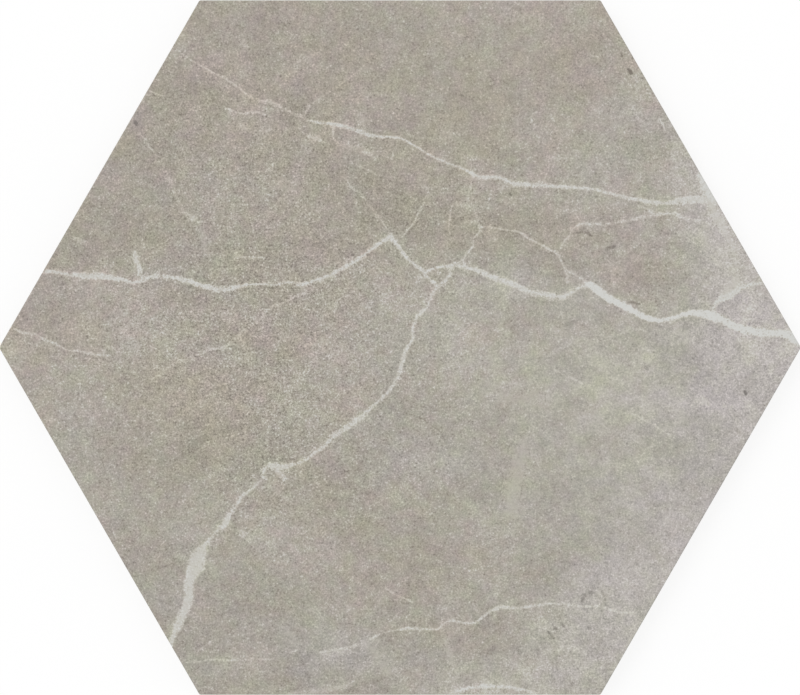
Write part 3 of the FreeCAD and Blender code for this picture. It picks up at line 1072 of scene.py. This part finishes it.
def press_tile(sizes):
    """The whole tile's points and faces."""
    pressing = Pressing()
    corner_steps = 4        # as many on every ring, so that each can be bridged to the next
    side_steps = 88
    rings = []
    for inset, height, radius in wall_profile(sizes):
        apothem = sizes.across_flats / MM / 2 - inset
        ring = hexagon_ring(apothem, radius, height, CORNER_EAST, corner_steps, side_steps)
        rings.append(pressing.add_points(ring))
    clay_from = (sizes.thickness - 2 * sizes.arris_radius) / MM
    for upper, lower in zip(rings, rings[1:]):
        glazed = pressing.points[lower[0]][2] > clay_from
        pressing.bridge(upper, lower, GLAZE if glazed else CLAY)
    press_face(pressing, rings[0], sizes)
    press_back(pressing, rings[-1], sizes)
    return pressing


def patch_sum(places, patches):
    """What the patches add up to at each place."""
    total = np.zeros(len(places))
    for patch in patches.values():
        middle = on_tile(patch.x, patch.y)
        reach = (patch.across / CHART_PX_PER_MM[0], patch.down / CHART_PX_PER_MM[1])
        total += patch.amount * np.exp(-0.5 * (((places - middle) / reach) ** 2).sum(axis=1))
    return total


def print_values(places):
    """The print's numbers at each place, by the names that the glaze reads."""
    values = {
        "depth": np.full(len(places), DEEPEST_OUTSIDE),
        "tone": np.full(len(places), STONE_TONE),
        "feather": np.full(len(places), OPEN_FEATHER),
        "broken": np.zeros(len(places)),
        "stone": STONE_TONE + patch_sum(places, TONE_PATCHES),
        "rose": patch_sum(places, ROSE_PATCHES),
        "warmth": patch_sum(places, WARM_PATCHES),
        "grain": EVEN_GRAIN + patch_sum(places, GRAIN_PATCHES),
        "cloudiness": EVEN_CLOUDS + patch_sum(places, CLOUD_PATCHES),
    }
    for vein in VEINS.values():
        route = smooth_route(vein.points)
        low = route[:, :2].min(axis=0) + DEEPEST_OUTSIDE
        high = route[:, :2].max(axis=0) - DEEPEST_OUTSIDE
        near = np.flatnonzero(((places > low) & (places < high)).all(axis=1))
        depth = distance_inside(places[near], route)
        wins = depth > values["depth"][near]
        near = near[wins]
        values["depth"][near] = depth[wins]
        values["tone"][near] = vein.tone
        values["feather"][near] = vein.feather
        values["broken"][near] = vein.broken
    return values


def lay_out_map(mesh, sizes):
    """The map that the finishes are baked on: the face large, and the back and the walls above it."""
    across = sizes.across_flats / MM / FLAT_TO_CORNER
    side_length = across / 2
    face_scale = FACE_ON_MAP / across
    back_scale = BACK_ON_MAP / across
    wall_scale = WALL_ON_MAP / side_length
    face_middle = (MAP_GAP + FACE_ON_MAP / 2, MAP_GAP + FACE_ON_MAP / 2 * FLAT_TO_CORNER)
    upper_row = face_middle[1] + FACE_ON_MAP / 2 * FLAT_TO_CORNER + 2 * MAP_GAP
    back_middle = (MAP_GAP + BACK_ON_MAP / 2, upper_row + BACK_ON_MAP / 2 * FLAT_TO_CORNER)
    wall_left = 2 * MAP_GAP + BACK_ON_MAP + WALL_SHIFT

    # The corners of all faces in mm, and for each corner the middle of its face
    corners = np.empty(len(mesh.loops), int)
    mesh.loops.foreach_get("vertex_index", corners)
    points = np.empty(len(mesh.vertices) * 3)
    mesh.vertices.foreach_get("co", points)
    points = points.reshape(-1, 3)[corners] / MM
    starts = np.empty(len(mesh.polygons), int)
    counts = np.empty(len(mesh.polygons), int)
    mesh.polygons.foreach_get("loop_start", starts)
    mesh.polygons.foreach_get("loop_total", counts)
    middles = np.repeat(np.add.reduceat(points, starts, axis=0) / counts[:, None], counts, axis=0)

    # The face takes in most of the arris, and the walls what lies outside the back's rim.
    arris_share = 0.8
    above_cells = 0.1       # in mm
    back_apothem = (sizes.across_flats / 2 - sizes.foot_inset - sizes.arris_radius) / MM
    outwards = middles[:, :2] @ OUTWARD.T
    face = middles[:, 2] > (sizes.thickness - arris_share * sizes.arris_radius) / MM
    back = ~face & (middles[:, 2] < sizes.cell_depth / MM + above_cells)
    back &= outwards.max(axis=1) < back_apothem
    wall = ~face & ~back

    # The back is turned over, and the walls lie one above the other.
    side = outwards.argmax(axis=1)
    along = OUTWARD[side, ::-1] * (-1, 1)
    run = (points[:, :2] * along).sum(axis=1) + side_length / 2
    spots = np.empty((len(points), 2))
    spots[face] = np.array(face_middle) + points[face, :2] * face_scale
    spots[back] = np.array(back_middle) + points[back, :2] * (-back_scale, back_scale)
    spots[wall, 0] = wall_left + run[wall] * wall_scale
    spots[wall, 1] = upper_row + side[wall] * WALL_PITCH + points[wall, 2] * wall_scale
    layer = mesh.uv_layers.new(name="OFBake")
    layer.data.foreach_set("uv", spots.ravel())


def add(tree, kind, feeds=None, **settings):
    """Adds one node. Settings are its own choices, and feeds are what goes into its sockets.

    A socket is given by its name or place, and a feed is a value, a source, or a node whose first
    output is meant.
    """
    node = tree.nodes.new(kind)
    for name, value in settings.items():
        setattr(node, name, value)
    for key, feed in (feeds or {}).items():
        named = [socket for socket in node.inputs if socket.enabled and socket.name == key]
        socket = named[0] if named else node.inputs[key]
        if isinstance(feed, bpy.types.Node):
            feed = [source for source in feed.outputs if source.enabled][0]
        if isinstance(feed, bpy.types.NodeSocket):
            tree.links.new(feed, socket)
        else:
            socket.default_value = feed
    return node


def new_material(name):
    """A material with an empty tree."""
    material = bpy.data.materials.new(name)
    material.use_nodes = True
    material.node_tree.nodes.clear()
    return material


def lay_mottles(tree, place, looks):
    """All the mottles of a finish, by their names."""
    mottle = {}
    for name, look in looks.items():
        noise = add(tree, "ShaderNodeTexNoise", {
            "Vector": place, "Scale": 1 / (look.size * MM),
            "Detail": look.octaves, "Roughness": look.roughness,
        })
        mottle[name] = add(tree, "ShaderNodeMapRange", {
            "Value": noise, "From Min": look.low, "From Max": look.high,
            "To Min": look.least, "To Max": look.most,
        })
    return mottle


def glazed_face(colours):
    """Matt porcelain glaze over an ink-jet print of veined stone, fired in one go.

    The glaze is full of fine crystals, so the eye gets a dry, even sheen without reflections.
    The print gives soft clouds, a sandy grain of single ink drops, and veins with ragged edges.
    """
    material = new_material("matt_printed_glaze")
    tree = material.node_tree
    place = add(tree, "ShaderNodeTexCoord").outputs["Object"]
    printed = {}
    for name in ("depth", "tone", "feather", "broken", "stone", "rose", "warmth", "grain", "cloudiness"):
        printed[name] = add(tree, "ShaderNodeAttribute", attribute_name=name).outputs["Fac"]
    mottle = lay_mottles(tree, place, GLAZE_MOTTLES)

    # The veins' edges wander by a few ink drops, and a broken one thins out in places.
    ragged = add(tree, "ShaderNodeMath", {
        0: mottle["edge wander"], 1: mottle["edge grain"],
    }, operation="ADD")
    wander = add(tree, "ShaderNodeMath", {
        0: ragged, 1: printed["feather"], 2: printed["depth"],
    }, operation="MULTIPLY_ADD")
    depth = add(tree, "ShaderNodeMath", {
        0: mottle["thinning"], 1: printed["broken"], 2: wander,
    }, operation="MULTIPLY_ADD")
    fringe = add(tree, "ShaderNodeMath", {0: printed["feather"], 1: -1.0}, operation="MULTIPLY")
    cover = add(tree, "ShaderNodeMapRange", {
        "Value": depth, "From Min": fringe, "From Max": printed["feather"],
    }, interpolation_type="SMOOTHSTEP")

    # Clouds lie on the stone, and a sandy grain with a few stronger flecks on everything, though
    # less on the widest veins.
    stone = add(tree, "ShaderNodeMath", {
        0: mottle["clouds"], 1: printed["cloudiness"], 2: printed["stone"],
    }, operation="MULTIPLY_ADD")
    drawn = add(tree, "ShaderNodeMix", {
        "Factor": cover, "A": stone, "B": printed["tone"],
    }, data_type="FLOAT")
    grains = add(tree, "ShaderNodeMath", {
        0: mottle["coarse grain"], 1: mottle["fine grain"],
    }, operation="ADD")
    size = add(tree, "ShaderNodeMath", {0: grains}, operation="ABSOLUTE")
    bite = add(tree, "ShaderNodeMath", {
        0: size, 1: FLECK_BITE, 2: 1 - FLECK_BITE * EVEN_FLECK,
    }, operation="MULTIPLY_ADD")
    grains = add(tree, "ShaderNodeMath", {0: grains, 1: bite}, operation="MULTIPLY")
    calm = add(tree, "ShaderNodeMapRange", {
        "Value": depth, "From Min": CALM_FROM, "From Max": CALM_AT, "To Min": 1.0, "To Max": CALM_GRAIN,
    })
    strength = add(tree, "ShaderNodeMath", {0: printed["grain"], 1: calm}, operation="MULTIPLY")
    tone = add(tree, "ShaderNodeMath", {0: grains, 1: strength, 2: drawn}, operation="MULTIPLY_ADD")

    # One scale of inks turns tone into colour, so dark grains are warmer and veins are cooler.
    share = add(tree, "ShaderNodeMapRange", {"Value": tone, "From Min": DARKEST, "From Max": WHITEST})
    colour = add(tree, "ShaderNodeValToRGB", {"Fac": share})
    ramp = colour.color_ramp
    ramp.elements.remove(ramp.elements[1])
    for code, ink in zip(INK_SCALE, (colours.fleck, colours.stone, colours.mist, colours.vein)):
        stop = ramp.elements.new((level(code) - DARKEST) / (WHITEST - DARKEST))
        stop.color = (*ink, 1)
    ramp.elements.remove(ramp.elements[0])

    # All but the white veins turns to rose or moss, and grows warmer or cooler.
    bare = add(tree, "ShaderNodeMapRange", {
        "Value": drawn, "From Min": HUED_UP_TO, "From Max": PLAIN_FROM, "To Min": 1.0, "To Max": 0.0,
    })
    for patches, clouds, more, less in (
        ("rose", "rose clouds", ROSE_HUE, MOSS_HUE),
        ("warmth", "warm clouds", WARM_HUE, ASH_HUE),
    ):
        whole = add(tree, "ShaderNodeMath", {0: printed[patches], 1: mottle[clouds]}, operation="ADD")
        for sign, hue in ((1, more), (-1, less)):
            turned = add(tree, "ShaderNodeMath", {
                0: whole, 1: sign,
            }, operation="MULTIPLY", use_clamp=True)
            limited = add(tree, "ShaderNodeMath", {0: turned, 1: bare}, operation="MULTIPLY")
            colour = add(tree, "ShaderNodeMix", {
                "Factor": limited, "A": colour, "B": (*linear(hue), 1),
            }, data_type="RGBA", blend_type="COLOR")

    # Crystals roughen the glaze by hundredths of a mm, drawn 0.5 mm wide so that they show.
    height = add(tree, "ShaderNodeMath", {0: mottle["crystals"], 1: mottle["swells"]}, operation="ADD")
    relief = add(tree, "ShaderNodeBump", {
        "Height": height, "Distance": CRYSTAL_HEIGHT * MM, "Strength": 1.0,
    })
    shader = add(tree, "ShaderNodeBsdfPrincipled", {
        "Base Color": colour, "Roughness": mottle["sheen"], "Normal": relief, "IOR": GLAZE_IOR,
    })
    add(tree, "ShaderNodeOutputMaterial", {"Surface": shader})
    return material


def fired_clay(colours):
    """Unglazed porcelain stoneware, pressed dry from spray-dried granules and fired.

    The granules melt into a dense body with a faint speckle and a dry bisque surface. Glaze mist
    from the spray line darkens the top of the wall, and kiln wash whitens the back's high parts.
    """
    material = new_material("fired_porcelain_clay")
    tree = material.node_tree
    place = add(tree, "ShaderNodeTexCoord").outputs["Object"]
    height = add(tree, "ShaderNodeSeparateXYZ", {0: place}).outputs["Z"]
    mottle = lay_mottles(tree, place, CLAY_MOTTLES)

    # Glaze mist ends in a ragged line a millimetre or two below the arris.
    ragged = add(tree, "ShaderNodeMath", {0: height, 1: mottle["mist edge"]}, operation="ADD")
    mist = add(tree, "ShaderNodeMapRange", {
        "Value": ragged, "From Min": THICKNESS + SPRAY_NONE_AT * MM,
        "From Max": THICKNESS + SPRAY_FULL_AT * MM, "To Max": SPRAY_COVER,
    })

    # Kiln wash is rubbed onto the bedding plane by the rollers, and leaves the cells bare.
    high_part = add(tree, "ShaderNodeMapRange", {
        "Value": height, "From Min": WASH_THICK_TO * MM, "From Max": WASH_GONE_AT * MM,
        "To Min": 1.0, "To Max": 0.0,
    })
    rubbed = add(tree, "ShaderNodeMath", {0: high_part, 1: mottle["rubbing"]}, operation="MULTIPLY")

    # Granules are 0.3 to 0.5 mm, and a few iron specks among them are dark.
    colour = (*colours.clay, 1)
    for factor, over in (
        (mottle["smoke"], linear(SMOKED_CLAY)),
        (mottle["granules"], linear(PALE_GRANULE)),
        (mottle["iron"], linear(IRON_SPECK)),
        (mist, colours.stone),
        (rubbed, colours.kiln_wash),
    ):
        colour = add(tree, "ShaderNodeMix", {
            "Factor": factor, "A": colour, "B": (*over, 1),
        }, data_type="RGBA")

    grit = add(tree, "ShaderNodeBump", {
        "Height": mottle["grit"], "Distance": GRIT_HEIGHT * MM, "Strength": 1.0,
    })
    shader = add(tree, "ShaderNodeBsdfPrincipled", {
        "Base Color": colour, "Roughness": mottle["dryness"], "Normal": grit, "IOR": CLAY_IOR,
    })
    add(tree, "ShaderNodeOutputMaterial", {"Surface": shader})
    return material


class TILE_OT_press_tile(bpy.types.Operator):
    """Press, print and fire the hexagonal tile"""

    bl_idname = "tile.press_tile"
    bl_label = "Press Tile"
    bl_options = {"REGISTER", "UNDO"}

    def execute(self, context):
        sizes = context.scene.tile_sizes
        colours = context.scene.tile_colours
        pressing = press_tile(sizes)
        mesh = bpy.data.meshes.new("pressed_tile")
        mesh.from_pydata([Vector(point) * MM for point in pressing.points], [], pressing.faces)
        mesh.update()
        if mesh.validate():
            raise RuntimeError("the pressed tile's mesh has faulty faces")
        mesh.polygons.foreach_set("material_index", pressing.finishes)
        mesh.polygons.foreach_set("use_smooth", [True] * len(mesh.polygons))
        places = np.array([point[:2] for point in pressing.points])
        for name, values in print_values(places).items():
            attribute = mesh.attributes.new(name, "FLOAT", "POINT")
            attribute.data.foreach_set("value", values)
        lay_out_map(mesh, sizes)
        mesh.materials.append(glazed_face(colours))
        mesh.materials.append(fired_clay(colours))
        tile = bpy.data.objects.new("pressed_tile", mesh)
        context.scene.collection.objects.link(tile)
        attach(tile, BODY)
        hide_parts(NODE)
        return {"FINISHED"}


def white_for_the_eye(tree):
    """1 for rays from the camera and those that gloss or glass sends on, and 0 for the light."""
    rays = add(tree, "ShaderNodeLightPath").outputs
    seen = add(tree, "ShaderNodeMath", {
        0: rays["Is Camera Ray"], 1: rays["Is Glossy Ray"],
    }, operation="ADD")
    return add(tree, "ShaderNodeMath", {
        0: seen, 1: rays["Is Transmission Ray"],
    }, operation="ADD", use_clamp=True)


class TILE_OT_set_stage(bpy.types.Operator):
    """Lay the white floor, light it softly and hang the camera above the tile"""

    bl_idname = "tile.set_stage"
    bl_label = "Set Stage"
    bl_options = {"REGISTER", "UNDO"}

    def execute(self, context):
        scene = context.scene
        stage = scene.tile_stage
        self.lay_floor(scene, stage.floor_size)
        self.light(scene, stage)
        self.hang_camera(scene, stage)
        scene.view_settings.view_transform = "Standard"
        return {"FINISHED"}

    @staticmethod
    def lay_floor(scene, size):
        """White laminate, matt, which reads as white and still takes a faint shadow."""
        half = size / 2
        mesh = bpy.data.meshes.new("floor")
        corners = [(-half, -half, 0), (half, -half, 0), (half, half, 0), (-half, half, 0)]
        mesh.from_pydata(corners, [], [(0, 1, 2, 3)])
        material = new_material("white_laminate")
        tree = material.node_tree
        matt = add(tree, "ShaderNodeBsdfDiffuse", {"Color": (*linear(LAMINATE), 1)})
        glow = add(tree, "ShaderNodeEmission", {"Color": (1, 1, 1, 1), "Strength": FLOOR_GLOW})
        seen = add(tree, "ShaderNodeMath", {
            0: white_for_the_eye(tree), 1: GLOW_SHARE,
        }, operation="MULTIPLY")
        both = add(tree, "ShaderNodeMixShader", {0: seen, 1: matt, 2: glow})
        add(tree, "ShaderNodeOutputMaterial", {"Surface": both})
        mesh.materials.append(material)
        floor = bpy.data.objects.new("floor", mesh)
        scene.collection.objects.link(floor)

    @staticmethod
    def light(scene, stage):
        """Even white light all round, and a soft lamp from the upper left for shape."""
        world = bpy.data.worlds.new("white_room")
        world.use_nodes = True
        tree = world.node_tree
        tree.nodes.clear()
        lit = add(tree, "ShaderNodeBackground", {"Color": (1, 1, 1, 1), "Strength": stage.sky})
        seen = add(tree, "ShaderNodeBackground", {"Color": (1, 1, 1, 1), "Strength": 1.0})
        both = add(tree, "ShaderNodeMixShader", {0: white_for_the_eye(tree), 1: lit, 2: seen})
        add(tree, "ShaderNodeOutputWorld", {"Surface": both})
        scene.world = world
        lamp = bpy.data.lights.new("soft_lamp", "SUN")
        lamp.energy = stage.lamp
        lamp.angle = LAMP_WIDTH
        lamp_object = bpy.data.objects.new("soft_lamp", lamp)
        lamp_object.rotation_euler = Vector(LAMP_FROM).to_track_quat("Z", "Y").to_euler()
        scene.collection.objects.link(lamp_object)

    @staticmethod
    def hang_camera(scene, stage):
        """Straight above the tile's middle, with its +Y side at the picture's top."""
        camera = bpy.data.cameras.new("camera")
        camera.lens = stage.lens
        distance = stage.view_width * stage.lens / camera.sensor_width
        camera_object = bpy.data.objects.new("camera", camera)
        camera_object.location = (0, 0, THICKNESS + distance)
        scene.collection.objects.link(camera_object)
        scene.camera = camera_object


class TILE_PT_sidebar(bpy.types.Panel):
    """Sizes, colours and light of the tile"""

    bl_idname = "TILE_PT_sidebar"
    bl_label = "Hexagon Floor Tile"
    bl_space_type = "VIEW_3D"
    bl_region_type = "UI"
    bl_category = "Tile"

    def draw(self, context):
        scene = context.scene
        for group, operator in (
            (scene.tile_sizes, None),
            (scene.tile_colours, TILE_OT_press_tile),
            (scene.tile_stage, TILE_OT_set_stage),
        ):
            column = self.layout.column()
            for name in group.__annotations__:
                column.prop(group, name)
            if operator:
                column.operator(operator.bl_idname)


CLASSES = (
    TileSizes,
    TileColours,
    StageSettings,
    TILE_OT_press_tile,
    TILE_OT_set_stage,
    TILE_PT_sidebar,
)


def register():
    """Makes the classes known and gives every scene its settings."""
    for cls in CLASSES:
        bpy.utils.register_class(cls)
    bpy.types.Scene.tile_sizes = bpy.props.PointerProperty(type=TileSizes)
    bpy.types.Scene.tile_colours = bpy.props.PointerProperty(type=TileColours)
    bpy.types.Scene.tile_stage = bpy.props.PointerProperty(type=StageSettings)


def unregister():
    """Takes the settings and the classes away again."""
    del bpy.types.Scene.tile_stage
    del bpy.types.Scene.tile_colours
    del bpy.types.Scene.tile_sizes
    for cls in reversed(CLASSES):
        bpy.utils.unregister_class(cls)


def main():
    """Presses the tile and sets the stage."""
    register()
    bpy.ops.tile.press_tile()
    bpy.ops.tile.set_stage()


if __name__ == "__main__":
    main()
